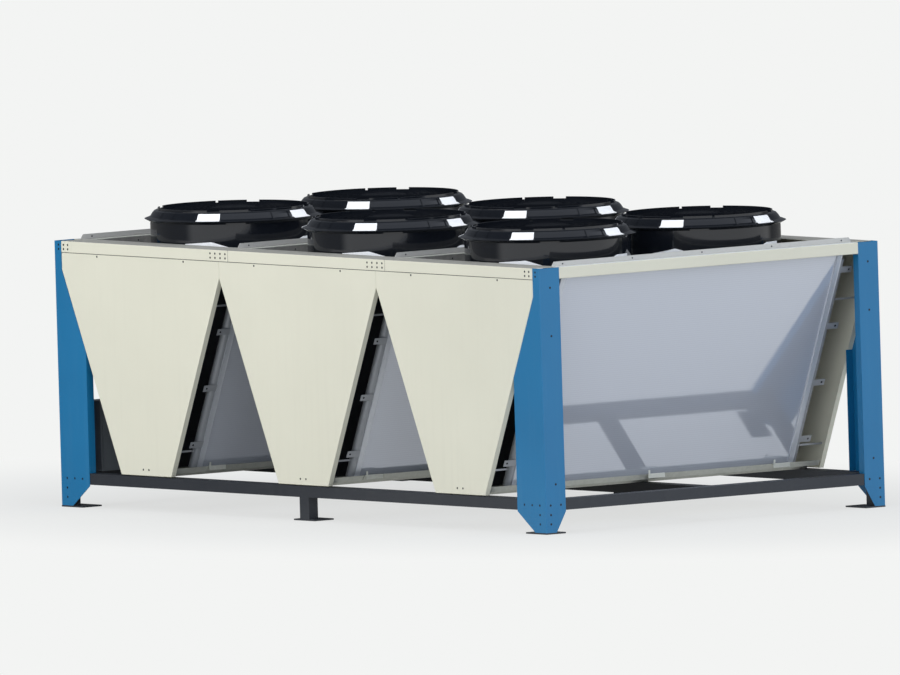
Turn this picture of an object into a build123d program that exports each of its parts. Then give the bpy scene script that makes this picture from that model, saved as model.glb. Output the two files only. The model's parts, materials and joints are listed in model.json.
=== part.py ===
from build123d import *
import math
import os

os.makedirs("parts", exist_ok=True)

# overall sizes, mm
module_count = 3
module_pitch = 1360.0
end_strip = 60.0
top_z = 1425.0
half_x = module_count * module_pitch / 2 + end_strip

# fan hoods: the ring sets the hood, and two hoods side by side set the depth of the unit
ring_r = 446.0
ring_wall = 48.0
brim_out = 30.0
hood_turn = -11.5
row_gap = 64.0
edge_room = 166.0
bore_r = ring_r - ring_wall
brim_r = ring_r + brim_out
hood_reach = brim_r
fan_dy = hood_reach + row_gap / 2
half_y = fan_dy + hood_reach + edge_room

# sheet gauges, bends and fits
post_sheet = 3.0
rail_sheet = 3.0
panel_sheet = 2.0
bend_r = 4.0
seam = 1.0
lip_gap = 3.0

# feet, legs and base rails
foot_x = 180.0
foot_y = 130.0
foot_t = 8.0
anchor_d = 14.0
anchor_in_x = 138.0
anchor_in_y = foot_y / 2
leg_x = 80.0
leg_y = 60.0
rail_w = 80.0
rail_h = 60.0
base_z = 125.0
base_top = base_z + rail_h

# corner posts
post_v = 247.0
post_c = 135.0
post_lip = 45.0
post_foot_v = 97.0
post_foot_c = 70.0
post_taper_z = 118.0

# top rails, fan deck and beams
top_rail_h = 62.0
top_rail_z = top_z - top_rail_h
flange_short = 1.0
top_flange = edge_room - flange_short
rail_joint = 86.0
low_flange = 42.0
deck_t = 3.0
deck_z = top_rail_z + rail_sheet
deck_top = deck_z + deck_t
deck_overlap = 10.0
deck_gap = 7.0
beam_half = 40.0
upstand_h = 26.0
upstand_start = 131.0
upstand_chamfer = 18.0

# V shaped end panels
v_bottom_half = 214.0
v_straight = 92.0
panel_gap = 6.0
panel_low = base_top + panel_gap
v_break = top_rail_z - v_straight
panel_rim = 30.0
slope = (module_pitch / 2 - v_bottom_half) / (v_break - panel_low)
lean = math.degrees(math.atan(slope))
cos_l = math.cos(math.radians(lean))
sin_l = math.sin(math.radians(lean))

# coils, their headers and trays
coil_inset = 43.0
coil_t = 40.0
header_room = 195.0
coil_end = half_y - header_room
header_r = 23.0
header_neck = 10.0
header_short = 24.0
tab_out = 86.0
tab_h = 36.0
tab_t = 3.0
tab_count = 4
stay_t = 5.0
stay_h = 10.0
stay_levels = (base_top + 137.0, top_rail_z - 248.0)
tab_low = base_top + 181.0
tab_high = top_rail_z - 75.0
tray_over = 15.0
tray_half = v_bottom_half + tray_over
tray_lean = 18.0
tray_rise = 24.0
tray_lip_h = 50.0
tray_step = 98.0
tray_sheet = 2.5
tray_room = 4.0
tray_ledge = base_top + tray_rise
tray_lip_z = base_top + tray_lip_h
clip_l = 90.0
clip_t = 6.0
clip_in = 85.0

# control cabinet beside the left front post
cabinet_in_x = 15.0
cabinet_in_y = 150.0
cabinet_w = 148.0
cabinet_d = 400.0
cabinet_h = 375.0
door_t = 4.0
door_margin = 12.0
latch_r = 11.0

# heights on the fan hood, and what turns and stands inside it
brim_rise = 117.0
brim_under = 16.0
dome_steps = ((0.0, 11.0), (-12.0, 30.0), (-22.0, 41.0), (-34.0, 46.0))
brim_z = top_z + brim_rise
hood_top = brim_z + dome_steps[-1][1]
crown_h = 11.0
crown_t = 6.0
crown_spans = ((8.0, 30.0), (32.0, 88.0))
rib_t = 10.0
rib_in = 1.5
rib_proud = 6.0
rib_angles = (2.0, 16.0)
slot_angle = 65.0
slot_w = 104.0
slot_h = 16.0
slot_deep = 34.0
guard_h = 8.0
guard_w = 8.0
guard_drop = 54.0
guard_rings = 2
guard_spokes = 6
guard_z = hood_top - guard_drop
hub_r = 125.0
hub_h = 110.0
hub_drop = 35.0
motor_r = 95.0
blade_count = 5
blade_chord = 250.0
blade_camber = 26.0
blade_t = 6.0
blade_pitch = 26.0
blade_root = 12.0
tip_gap = 8.0
fan_z = top_z + 22.0

module_x = [(i - (module_count - 1) / 2) * module_pitch for i in range(module_count)]
bound_x = [(i - module_count / 2) * module_pitch for i in range(module_count + 1)]
ends = (("left", -1), ("right", 1))
faces = (("front", -1), ("back", 1))


def wall(y):
    return Plane(origin=(0, y, 0), x_dir=(1, 0, 0), z_dir=(0, -1, 0))


def side(x):
    return Plane(origin=(x, 0, 0), x_dir=(0, 1, 0), z_dir=(1, 0, 0))


def block(x0, x1, y0, y1, z0, z1):
    with Locations(((x0 + x1) / 2, (y0 + y1) / 2, (z0 + z1) / 2)):
        Box(abs(x1 - x0), abs(y1 - y0), abs(z1 - z0))


def save(piece, label):
    piece.part.label = label
    export_step(piece.part, f"parts/{label}.step")


def edge_half(z):
    return v_bottom_half + (z - panel_low) * slope


# base frame of rectangular tube
in_x = half_x - post_sheet
in_y = half_y - post_sheet
with BuildPart() as base_long_rails:
    for sign in (-1, 1):
        block(-in_x + leg_x, in_x - leg_x, sign * in_y, sign * (in_y - rail_w), base_z, base_top)
save(base_long_rails, "base_long_rails")

with BuildPart() as base_end_rails:
    for sign in (-1, 1):
        block(sign * in_x, sign * (in_x - rail_w), -in_y + leg_y, in_y - leg_y, base_z, base_top)
save(base_end_rails, "base_end_rails")

with BuildPart() as base_middle_rail:
    block(-in_x + rail_w, in_x - rail_w, -rail_w / 2, rail_w / 2, base_z, base_top)
save(base_middle_rail, "base_middle_rail")

# corner legs with anchor plates, and the two legs half way along
with BuildPart() as corner_feet:
    for sx in (-1, 1):
        for sy in (-1, 1):
            block(sx * half_x, sx * (half_x - foot_x), sy * half_y, sy * (half_y - foot_y), 0, foot_t)
            block(sx * in_x, sx * (in_x - leg_x), sy * in_y, sy * (in_y - leg_y), foot_t, base_top)
    for sx in (-1, 1):
        for sy in (-1, 1):
            with Locations((sx * (half_x - anchor_in_x), sy * (half_y - anchor_in_y), foot_t / 2)):
                Cylinder(anchor_d / 2, 2 * foot_t, mode=Mode.SUBTRACT)
save(corner_feet, "corner_feet")

with BuildPart() as middle_legs:
    for sy in (-1, 1):
        block(-foot_x / 2, foot_x / 2, sy * half_y, sy * (half_y - foot_y), 0, foot_t)
        block(-leg_x / 2, leg_x / 2, sy * in_y, sy * (in_y - leg_y), foot_t, base_z)
save(middle_legs, "middle_legs")

# folded corner posts; the wide leaf follows the slope of the end panel beside it
post_gap = 1.5
full_z = panel_low + (module_pitch / 2 + end_strip - post_v - post_gap - v_bottom_half) / slope
for face_name, sy in faces:
    for end_name, sx in ends:
        with BuildPart() as post:
            with BuildSketch(wall(sy * half_y)):
                with BuildLine():
                    Polyline(
                        (sx * half_x, foot_t),
                        (sx * (half_x - post_foot_v), foot_t),
                        (sx * (half_x - post_v), post_taper_z),
                        (sx * (half_x - post_v), full_z),
                        (sx * (half_x - end_strip + post_gap), v_break),
                        (sx * (half_x - end_strip + post_gap), top_z),
                        (sx * half_x, top_z),
                        close=True,
                    )
                make_face()
            extrude(amount=sy * post_sheet)
            with BuildSketch(side(sx * half_x)):
                with BuildLine():
                    Polyline(
                        (sy * half_y, foot_t),
                        (sy * (half_y - post_foot_c), foot_t),
                        (sy * (half_y - post_c), post_taper_z),
                        (sy * (half_y - post_c), top_z),
                        (sy * half_y, top_z),
                        close=True,
                    )
                make_face()
            extrude(amount=-sx * post_sheet)
            lip_x = half_x - post_v
            block(sx * lip_x, sx * (lip_x + post_sheet), sy * half_y, sy * (half_y - post_lip),
                  base_top + seam, full_z)
            lip_y = half_y - post_c
            block(sx * half_x, sx * (half_x - post_lip), sy * lip_y, sy * (lip_y + post_sheet),
                  base_top + seam, top_rail_z - lip_gap)
            fold = (sx * half_x, sy * half_y, top_z / 2)
            fillet(post.edges().filter_by(Axis.Z).sort_by_distance(fold)[0], bend_r)
        save(post, f"post_{face_name}_{end_name}")

# end panels with a folded rim all round
for face_name, sy in faces:
    for i, cx in enumerate(module_x):
        top_half = module_pitch / 2 - seam / 2
        outline = [
            (-v_bottom_half, panel_low),
            (v_bottom_half, panel_low),
            (top_half, v_break),
            (top_half, top_rail_z),
            (-top_half, top_rail_z),
            (-top_half, v_break),
        ]
        with BuildPart() as panel:
            with BuildSketch(wall(sy * half_y)):
                with BuildLine():
                    Polyline(*[(cx + px, pz) for px, pz in outline], close=True)
                make_face()
            extrude(amount=sy * panel_rim)
            with BuildSketch(wall(sy * (half_y - panel_sheet))):
                with BuildLine():
                    Polyline(*[(cx + px, pz) for px, pz in outline], close=True)
                make_face()
                offset(amount=-panel_sheet, kind=Kind.INTERSECTION, mode=Mode.REPLACE)
            extrude(amount=sy * panel_rim, mode=Mode.SUBTRACT)
            skin = panel.faces().sort_by(Axis.Y)[0 if sy < 0 else -1]
            fillet(skin.edges(), bend_r * 0.7)
        save(panel, f"v_panel_{face_name}_{i + 1}")

# front and back top rails, folded channels that meet beside each pair of end panels
for face_name, sy in faces:
    joints = [bound_x[0]] + [bx + rail_joint for bx in bound_x[:-1]] + [bound_x[-1]]
    joints = joints if sy < 0 else [-x for x in reversed(joints)]
    with BuildPart() as rails:
        for x0, x1 in zip(joints[:-1], joints[1:]):
            with BuildSketch(side(x0 + seam / 2)) as profile:
                with BuildLine():
                    Polyline(
                        (sy * half_y, top_rail_z),
                        (sy * half_y, top_z),
                        (sy * (half_y - top_flange), top_z),
                        (sy * (half_y - top_flange), top_z - rail_sheet),
                        (sy * (half_y - rail_sheet), top_z - rail_sheet),
                        (sy * (half_y - rail_sheet), top_rail_z + rail_sheet),
                        (sy * (half_y - low_flange), top_rail_z + rail_sheet),
                        (sy * (half_y - low_flange), top_rail_z),
                        close=True,
                    )
                make_face()
                fillet(profile.vertices().sort_by_distance((sy * half_y, top_z))[0], bend_r)
                fillet(profile.vertices().sort_by_distance((sy * half_y, top_rail_z))[0], bend_r)
            extrude(amount=x1 - x0 - seam)
    save(rails, f"top_rails_{face_name}")

# end top rails between the corner posts
rail_y = half_y - post_c - seam / 2
for end_name, sx in ends:
    inner = half_x - end_strip
    with BuildPart() as rail:
        with BuildSketch(wall(rail_y)) as profile:
            with BuildLine():
                Polyline(
                    (sx * half_x, top_rail_z),
                    (sx * half_x, top_z),
                    (sx * inner, top_z),
                    (sx * inner, top_z - rail_sheet),
                    (sx * (half_x - rail_sheet), top_z - rail_sheet),
                    (sx * (half_x - rail_sheet), top_rail_z + rail_sheet),
                    (sx * inner, top_rail_z + rail_sheet),
                    (sx * inner, top_rail_z),
                    close=True,
                )
            make_face()
            fillet(profile.vertices().sort_by_distance((sx * half_x, top_z))[0], bend_r)
            fillet(profile.vertices().sort_by_distance((sx * half_x, top_rail_z))[0], bend_r)
        extrude(amount=2 * rail_y)
    save(rail, f"top_rail_{end_name}")

# fan deck plates, one a module, with a hole under each fan
with BuildPart() as fan_decks:
    for i, cx in enumerate(module_x):
        x0 = bound_x[i] + seam / 2 - (deck_overlap if i == 0 else 0)
        x1 = bound_x[i + 1] - seam / 2 + (deck_overlap if i == module_count - 1 else 0)
        block(x0, x1, -half_y + rail_sheet + seam, half_y - rail_sheet - seam, deck_z, deck_top)
    for cx in module_x:
        with Locations((cx, -fan_dy, deck_z), (cx, fan_dy, deck_z)):
            Cylinder(bore_r + deck_gap, 4 * deck_t, mode=Mode.SUBTRACT)
save(fan_decks, "fan_decks")

# folded deck beams across the unit, with a standing leaf whose ends are cut back
beam_y = half_y - top_flange - seam
leaf_y = half_y - upstand_start
for i, bx in enumerate(bound_x):
    x0 = bx - beam_half if i > 0 else bx
    x1 = bx + beam_half if i < module_count else bx
    leaf_x = min(max(bx - rail_sheet / 2, x0), x1 - rail_sheet)
    with BuildPart() as beam:
        block(x0, x1, -beam_y, beam_y, top_z - rail_sheet, top_z)
        block(x0, x0 + rail_sheet, -beam_y, beam_y, deck_top, top_z - rail_sheet)
        block(x1 - rail_sheet, x1, -beam_y, beam_y, deck_top, top_z - rail_sheet)
        with BuildSketch(side(leaf_x)):
            with BuildLine():
                Polyline(
                    (-leaf_y, top_z),
                    (-leaf_y + upstand_chamfer, top_z + upstand_h),
                    (leaf_y - upstand_chamfer, top_z + upstand_h),
                    (leaf_y, top_z),
                    close=True,
                )
            make_face()
        extrude(amount=rail_sheet)
    save(beam, f"deck_beam_{i + 1}")

# bottom trays that hold both coils of a module, with clips on the lips
tray_y = half_y - panel_rim - tray_room
clip_y = coil_end - clip_in
with BuildPart() as coil_trays:
    for cx in module_x:
        under = [
            (tray_half, tray_lip_z),
            (tray_half - tray_lean, tray_ledge - tray_sheet),
            (tray_half - tray_step, tray_ledge - tray_sheet),
            (tray_half - tray_step - tray_rise, base_top),
        ]
        over = [
            (tray_half - tray_sheet, tray_lip_z),
            (tray_half - tray_lean - tray_sheet, tray_ledge),
            (tray_half - tray_step - tray_sheet, tray_ledge),
            (tray_half - tray_step - tray_rise - tray_sheet, base_top + tray_sheet),
        ]
        round_under = [(cx + px, pz) for px, pz in under] + [(cx - px, pz) for px, pz in reversed(under)]
        round_over = [(cx - px, pz) for px, pz in over] + [(cx + px, pz) for px, pz in reversed(over)]
        with BuildSketch(wall(tray_y)):
            with BuildLine():
                Polyline(*round_under, *round_over, close=True)
            make_face()
        extrude(amount=2 * tray_y)
        for sx in (-1, 1):
            foot = (tray_half - tray_lean * 0.85, tray_lip_z - (tray_lip_z - tray_ledge + tray_sheet) * 0.85)
            for mid in (-clip_y, 0, clip_y):
                with BuildSketch(wall(mid + clip_l / 2)):
                    with BuildLine():
                        Polyline(
                            (cx + sx * tray_half, tray_lip_z),
                            (cx + sx * (tray_half + clip_t), tray_lip_z),
                            (cx + sx * (foot[0] + clip_t), foot[1]),
                            (cx + sx * foot[0], foot[1]),
                            close=True,
                        )
                    make_face()
                extrude(amount=clip_l)
save(coil_trays, "coil_trays")

# coil blocks and their end headers, with fixing tabs and stays that reach the end panels
coil_top = deck_z
coil_w = coil_t / cos_l


def coil_half(z):
    return edge_half(z) - coil_inset


for i, cx in enumerate(module_x):
    for end_name, sx in ends:
        with BuildPart() as coil:
            with BuildSketch(wall(coil_end)):
                with BuildLine():
                    Polyline(
                        (cx + sx * coil_half(tray_ledge), tray_ledge),
                        (cx + sx * coil_half(coil_top), coil_top),
                        (cx + sx * (coil_half(coil_top) - coil_w), coil_top),
                        (cx + sx * (coil_half(tray_ledge) - coil_w), tray_ledge),
                        close=True,
                    )
                make_face()
            extrude(amount=2 * coil_end)
        save(coil, f"coil_{i + 1}_{end_name}")
    with BuildPart() as headers:
        for end_name, sx in ends:
            up = (sx * sin_l, 0, cos_l)
            out = (sx * cos_l, 0, -sin_l)
            low = tray_ledge + header_short
            high = coil_top - header_short
            for sy in (-1, 1):
                foot = (cx + sx * (coil_half(low) - coil_w / 2), sy * coil_end, low)
                with BuildSketch(Plane(origin=foot, x_dir=(0, sy, 0), z_dir=up)):
                    with Locations((header_neck / 2, 0)):
                        Rectangle(header_neck, 2 * header_r)
                    with Locations((header_neck, 0)):
                        Circle(header_r)
                    with Locations((-header_r, 0)):
                        Rectangle(2 * header_r, 2 * header_r, mode=Mode.SUBTRACT)
                extrude(amount=(high - low) / cos_l)
                for k in range(tab_count):
                    level = tab_low + (tab_high - tab_low) * k / (tab_count - 1)
                    rise = (level - low) / cos_l
                    lug = tuple(
                        foot[k] + up[k] * rise + out[k] * header_r + (sy * tab_out / 2 if k == 1 else 0)
                        for k in range(3)
                    )
                    with BuildSketch(Plane(origin=lug, x_dir=(0, sy, 0), z_dir=out)):
                        Rectangle(tab_out, tab_h)
                    extrude(amount=tab_t)
                for level in stay_levels:
                    stay_x = cx + sx * (coil_half(level) - coil_w / 2)
                    block(stay_x - stay_t / 2, stay_x + stay_t / 2, sy * (coil_end + header_neck),
                          sy * (half_y - panel_sheet), level - stay_h / 2, level + stay_h / 2)
    save(headers, f"coil_headers_{i + 1}")

# cabinet with a door leaf and a latch on its inner side
cabinet_x0 = -half_x + cabinet_in_x
cabinet_x1 = cabinet_x0 + cabinet_w
cabinet_y0 = -half_y + cabinet_in_y
cabinet_y1 = cabinet_y0 + cabinet_d
with BuildPart() as control_cabinet:
    block(cabinet_x0, cabinet_x1, cabinet_y0, cabinet_y1, base_top, base_top + cabinet_h)
    with BuildSketch(side(cabinet_x1)):
        with Locations(((cabinet_y0 + cabinet_y1) / 2, base_top + cabinet_h / 2)):
            RectangleRounded(cabinet_d - 2 * door_margin, cabinet_h - 2 * door_margin, door_margin / 2)
    extrude(amount=door_t)
    with BuildSketch(side(cabinet_x1 + door_t)):
        with Locations((cabinet_y0 + 4 * door_margin, base_top + cabinet_h / 2)):
            Circle(latch_r)
    extrude(amount=2 * door_t)
save(control_cabinet, "control_cabinet")

# one fan hood: a ring with a brim and a dome, and a crown round the mouth
dome = [(ring_r + out, brim_z + rise) for out, rise in dome_steps]


def radial(angle):
    turn = math.radians(angle)
    return Plane(origin=(0, 0, 0), x_dir=(math.cos(turn), math.sin(turn), 0),
                 z_dir=(math.sin(turn), -math.cos(turn), 0))


with BuildPart() as hood_form:
    with BuildSketch(Plane.XZ):
        with BuildLine():
            Polyline(
                (bore_r, deck_top),
                (ring_r, deck_top),
                (ring_r, brim_z - brim_under),
                (brim_r, brim_z),
                *dome,
                (bore_r, hood_top),
                close=True,
            )
        make_face()
    revolve(axis=Axis.Z)
    # paired ribs that follow the dome, one pair a quarter
    for quarter in range(4):
        for angle in rib_angles:
            with BuildSketch(radial(angle + 90 * quarter)):
                with BuildLine():
                    Polyline(
                        (brim_r - brim_out / 2, brim_z),
                        (dome[0][0] + rib_proud, dome[0][1]),
                        (dome[1][0] + rib_proud, dome[1][1]),
                        (dome[2][0] + rib_proud, dome[2][1]),
                        (dome[3][0], hood_top),
                        (bore_r + rib_in, hood_top),
                        (bore_r + rib_in, brim_z),
                        close=True,
                    )
                make_face()
            extrude(amount=rib_t / 2, both=True)
    # a long slot under the brim in each quarter
    with PolarLocations(ring_r + slot_deep / 4, 4, start_angle=slot_angle):
        with Locations((0, 0, brim_z - brim_under / 2 - slot_h / 2)):
            Box(slot_deep, slot_w, slot_h, mode=Mode.SUBTRACT)
    # crown of short plates round the mouth, with one wide gap a quarter
    with BuildSketch(Plane.XY.offset(hood_top)):
        for quarter in range(4):
            for start, end in crown_spans:
                with BuildLine():
                    a0 = 45 + 90 * quarter + start
                    inner = CenterArc((0, 0), bore_r, a0, end - start)
                    outer = CenterArc((0, 0), bore_r + crown_t, a0, end - start)
                    Line(inner @ 0, outer @ 0)
                    Line(inner @ 1, outer @ 1)
                make_face()
    extrude(amount=crown_h)
    with Locations((0, 0, (deck_top + hood_top) / 2)):
        Cylinder(bore_r, hood_top - deck_top, mode=Mode.SUBTRACT)

# impeller: one cambered blade, patterned round the hub, trimmed to the bore
tilt = math.radians(blade_pitch)


def pitched(u, v):
    return (u * math.cos(tilt) - v * math.sin(tilt), u * math.sin(tilt) + v * math.cos(tilt))


with BuildPart() as blade_form:
    with BuildSketch(Plane(origin=(hub_r - blade_root, 0, fan_z), x_dir=(0, 1, 0), z_dir=(1, 0, 0))):
        with BuildLine():
            tail, nose, crest = -blade_chord / 2, blade_chord / 2, blade_camber
            ThreePointArc(pitched(tail, 0), pitched(0, crest), pitched(nose, 0))
            Line(pitched(nose, 0), pitched(nose, -blade_t))
            ThreePointArc(pitched(nose, -blade_t), pitched(0, crest - blade_t), pitched(tail, -blade_t))
            Line(pitched(tail, -blade_t), pitched(tail, 0))
        make_face()
    extrude(amount=bore_r - hub_r)
    with Locations((0, 0, fan_z)):
        Cylinder(bore_r - tip_gap, 2 * blade_chord, mode=Mode.INTERSECT)

with BuildPart() as impeller_form:
    with PolarLocations(0, blade_count):
        add(blade_form.part)
    hub_z = fan_z - hub_drop
    with Locations((0, 0, hub_z + hub_h / 2)):
        Cylinder(hub_r, hub_h)
    motor_h = guard_z - hub_z - hub_h
    with Locations((0, 0, hub_z + hub_h + motor_h / 2)):
        Cylinder(motor_r, motor_h)

# guard of flat bar: rings and spokes from the motor plate to the mouth of the hood
with BuildPart() as guard_form:
    with BuildSketch(Plane.XY.offset(guard_z)):
        RegularPolygon(hub_r, 18)
        for k in range(1, guard_rings + 1):
            ring = hub_r + (bore_r - hub_r) * k / guard_rings
            with BuildSketch(mode=Mode.PRIVATE) as band:
                RegularPolygon(ring, 36)
                RegularPolygon(ring - guard_w, 36, mode=Mode.SUBTRACT)
            add(band.sketch)
        with PolarLocations((hub_r + bore_r - guard_w) / 2, guard_spokes):
            Rectangle(bore_r - hub_r, guard_w)
    extrude(amount=guard_h)

spots = [(cx, sy * fan_dy) for cx in module_x for sy in (-1, 1)]
for n, (fx, fy) in enumerate(spots):
    with BuildPart() as fan_hood:
        with Locations(Pos(fx, fy, 0) * Rot(0, 0, hood_turn)):
            add(hood_form.part)
    save(fan_hood, f"fan_hood_{n + 1}")
    with BuildPart() as fan_impeller:
        with Locations((fx, fy, 0)):
            add(impeller_form.part)
    save(fan_impeller, f"fan_impeller_{n + 1}")

with BuildPart() as fan_guards:
    with Locations(*[(fx, fy, 0) for fx, fy in spots]):
        add(guard_form.part)
save(fan_guards, "fan_guards")
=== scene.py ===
import bpy
import bmesh
import json
import math
from mathutils import Matrix, Vector


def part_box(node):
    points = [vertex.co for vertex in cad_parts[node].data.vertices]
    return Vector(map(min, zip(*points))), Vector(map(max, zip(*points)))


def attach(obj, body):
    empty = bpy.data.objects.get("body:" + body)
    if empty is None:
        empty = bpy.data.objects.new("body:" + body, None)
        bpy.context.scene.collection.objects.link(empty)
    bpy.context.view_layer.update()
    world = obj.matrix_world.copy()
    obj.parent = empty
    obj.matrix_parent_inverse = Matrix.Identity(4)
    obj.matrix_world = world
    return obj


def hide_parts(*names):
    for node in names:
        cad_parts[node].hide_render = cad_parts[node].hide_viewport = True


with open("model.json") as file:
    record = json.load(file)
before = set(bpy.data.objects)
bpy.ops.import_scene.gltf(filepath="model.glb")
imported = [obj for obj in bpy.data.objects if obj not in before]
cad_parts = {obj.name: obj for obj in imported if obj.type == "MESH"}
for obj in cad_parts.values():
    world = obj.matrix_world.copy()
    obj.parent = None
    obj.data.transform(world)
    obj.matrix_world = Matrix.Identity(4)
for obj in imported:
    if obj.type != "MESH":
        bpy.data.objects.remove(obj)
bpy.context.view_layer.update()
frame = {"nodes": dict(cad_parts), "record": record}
nodes = frame["nodes"]
print("frame loaded:", len(nodes), "nodes")

# places on the frame that the small pieces sit on
mm = 0.001
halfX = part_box("corner_feet")[1].x
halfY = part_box("corner_feet")[1].y
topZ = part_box("top_rails_front")[1].z
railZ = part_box("top_rails_front")[0].z
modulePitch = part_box("v_panel_front_3")[1].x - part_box("v_panel_front_2")[1].x
moduleX = [-modulePitch, 0.0, modulePitch]
boundX = [-1.5 * modulePitch, -0.5 * modulePitch, 0.5 * modulePitch, 1.5 * modulePitch]
coilLean = math.radians(23.34)  # from upright
coilSides = [(n, sign, side) for n in range(len(moduleX)) for sign, side in ((-1, "left"), (1, "right"))]
fanSpots = []
for n in range(6):
    low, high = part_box(f"fan_hood_{n + 1}")
    fanSpots.append(((low.x + high.x) / 2, (low.y + high.y) / 2))


# camera: level with the top of the unit and seen from far off, so without perspective
view = {"azimuth": 52.03, "elevation": 3.94, "roll": -1.68, "width": 4.8072,
        "aside": -0.1268, "above": 0.9033, "back": 14.0, "reach": 60.0}


def placeCamera(settings):
    azimuth, elevation, roll = (math.radians(settings[k]) for k in ("azimuth", "elevation", "roll"))
    ahead = Vector((-math.sin(azimuth) * math.cos(elevation),
                    math.cos(azimuth) * math.cos(elevation),
                    -math.sin(elevation)))
    level = ahead.cross(Vector((0, 0, 1))).normalized()
    upright = level.cross(ahead)
    right = level * math.cos(roll) + upright * math.sin(roll)
    up = upright * math.cos(roll) - level * math.sin(roll)
    data = bpy.data.cameras.new("camera")
    data.type = "ORTHO"
    data.ortho_scale = settings["width"]
    data.clip_end = settings["reach"]
    camera = bpy.data.objects.new("camera", data)
    bpy.context.scene.collection.objects.link(camera)
    place = right * settings["aside"] + up * settings["above"] - ahead * settings["back"]
    camera.matrix_world = Matrix((
        (right.x, up.x, -ahead.x, place.x),
        (right.y, up.y, -ahead.y, place.y),
        (right.z, up.z, -ahead.z, place.z),
        (0, 0, 0, 1)))
    bpy.context.scene.camera = camera


placeCamera(view)
print("camera placed")


def linear(code):
    parts = [int(code[i:i + 2], 16) / 255 for i in (1, 3, 5)]
    return [c / 12.92 if c <= 0.04045 else ((c + 0.055) / 1.055) ** 2.4 for c in parts] + [1.0]


# adds one node, sets its sockets or options, and links what feeds it
# in a colour Mix node, socket 0 is the share, 6 and 7 are the colours, and output 2 is the result
def addNode(tree, kind, settings=None, links=None):
    node = tree.nodes.new(kind)
    for name, value in (settings or {}).items():
        if isinstance(name, int) or name in node.inputs:
            node.inputs[name].default_value = value
        else:
            setattr(node, name, value)
    for name, source in (links or {}).items():
        tree.links.new(source, node.inputs[name])
    return node


def startMaterial(name):
    material = bpy.data.materials.new(name)
    material.use_nodes = True
    tree = material.node_tree
    tree.nodes.clear()
    place = addNode(tree, "ShaderNodeTexCoord").outputs["Object"]
    return material, tree, place


def endMaterial(tree, shader):
    addNode(tree, "ShaderNodeOutputMaterial", links={"Surface": shader.outputs[0]})


# powder coat on folded steel: even colour with a faint cloud, soft gloss, orange peel, rain marks low down
coat = {"cloudDetail": 3.0, "runDetail": 4.0, "runRough": 0.6, "runHigh": 0.15, "runFrom": 0.5, "runTo": 0.8,
        "peelDetail": 2.0, "peelDepth": 0.0004, "glossLess": 0.05, "glossMore": 0.07, "lying": 0.72, "index": 1.5}
ivoryLook = {"light": "#E0DDC9", "dark": "#D8D5C1", "dust": "#BDB9A8", "cloud": 0.45,
             "runWidth": 0.03, "runLength": 0.7, "runTop": 1.45, "runShare": 0.14,
             "peel": 0.006, "peelStrength": 0.1, "gloss": 0.42, "sheen": 0.4}
railLook = dict(ivoryLook, zincTop="#AAA9A1", zincDark="#9A9992", spangle=0.016)
# the end rails' zinc top is a lighter copy of the galvanised sheet: painted light, on the side the room lights
# brightly
litEndRailLook = dict(railLook, zincTop="#DCDFDA", zincDark="#CBCFCB")
blueLook = {"light": "#1274A4", "dark": "#0D6997", "dust": "#4F86A8", "cloud": 0.5,
            "runWidth": 0.035, "runLength": 0.6, "runTop": 1.45, "runShare": 0.16,
            "peel": 0.006, "peelStrength": 0.12, "gloss": 0.36, "sheen": 0.5}
darkLook = {"light": "#303338", "dark": "#282B30", "dust": "#4C4C4A", "cloud": 0.3,
            "runWidth": 0.05, "runLength": 0.12, "runTop": 0.3, "runShare": 0.25,
            "peel": 0.006, "peelStrength": 0.14, "gloss": 0.46, "sheen": 0.4}
# the middle rail takes a blacker copy of the base paint as painted shade, for the shade it sits in under the coils
shadedMiddleRailLook = dict(darkLook, light="#131619", dark="#0D1013", dust="#1E1F20", sheen=0.2)
cabinetLook = {"light": "#6F7477", "dark": "#62676A", "dust": "#8B8A84", "cloud": 0.25,
               "runWidth": 0.03, "runLength": 0.3, "runTop": 0.6, "runShare": 0.2,
               "peel": 0.006, "peelStrength": 0.12, "gloss": 0.45, "sheen": 0.4}


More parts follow.
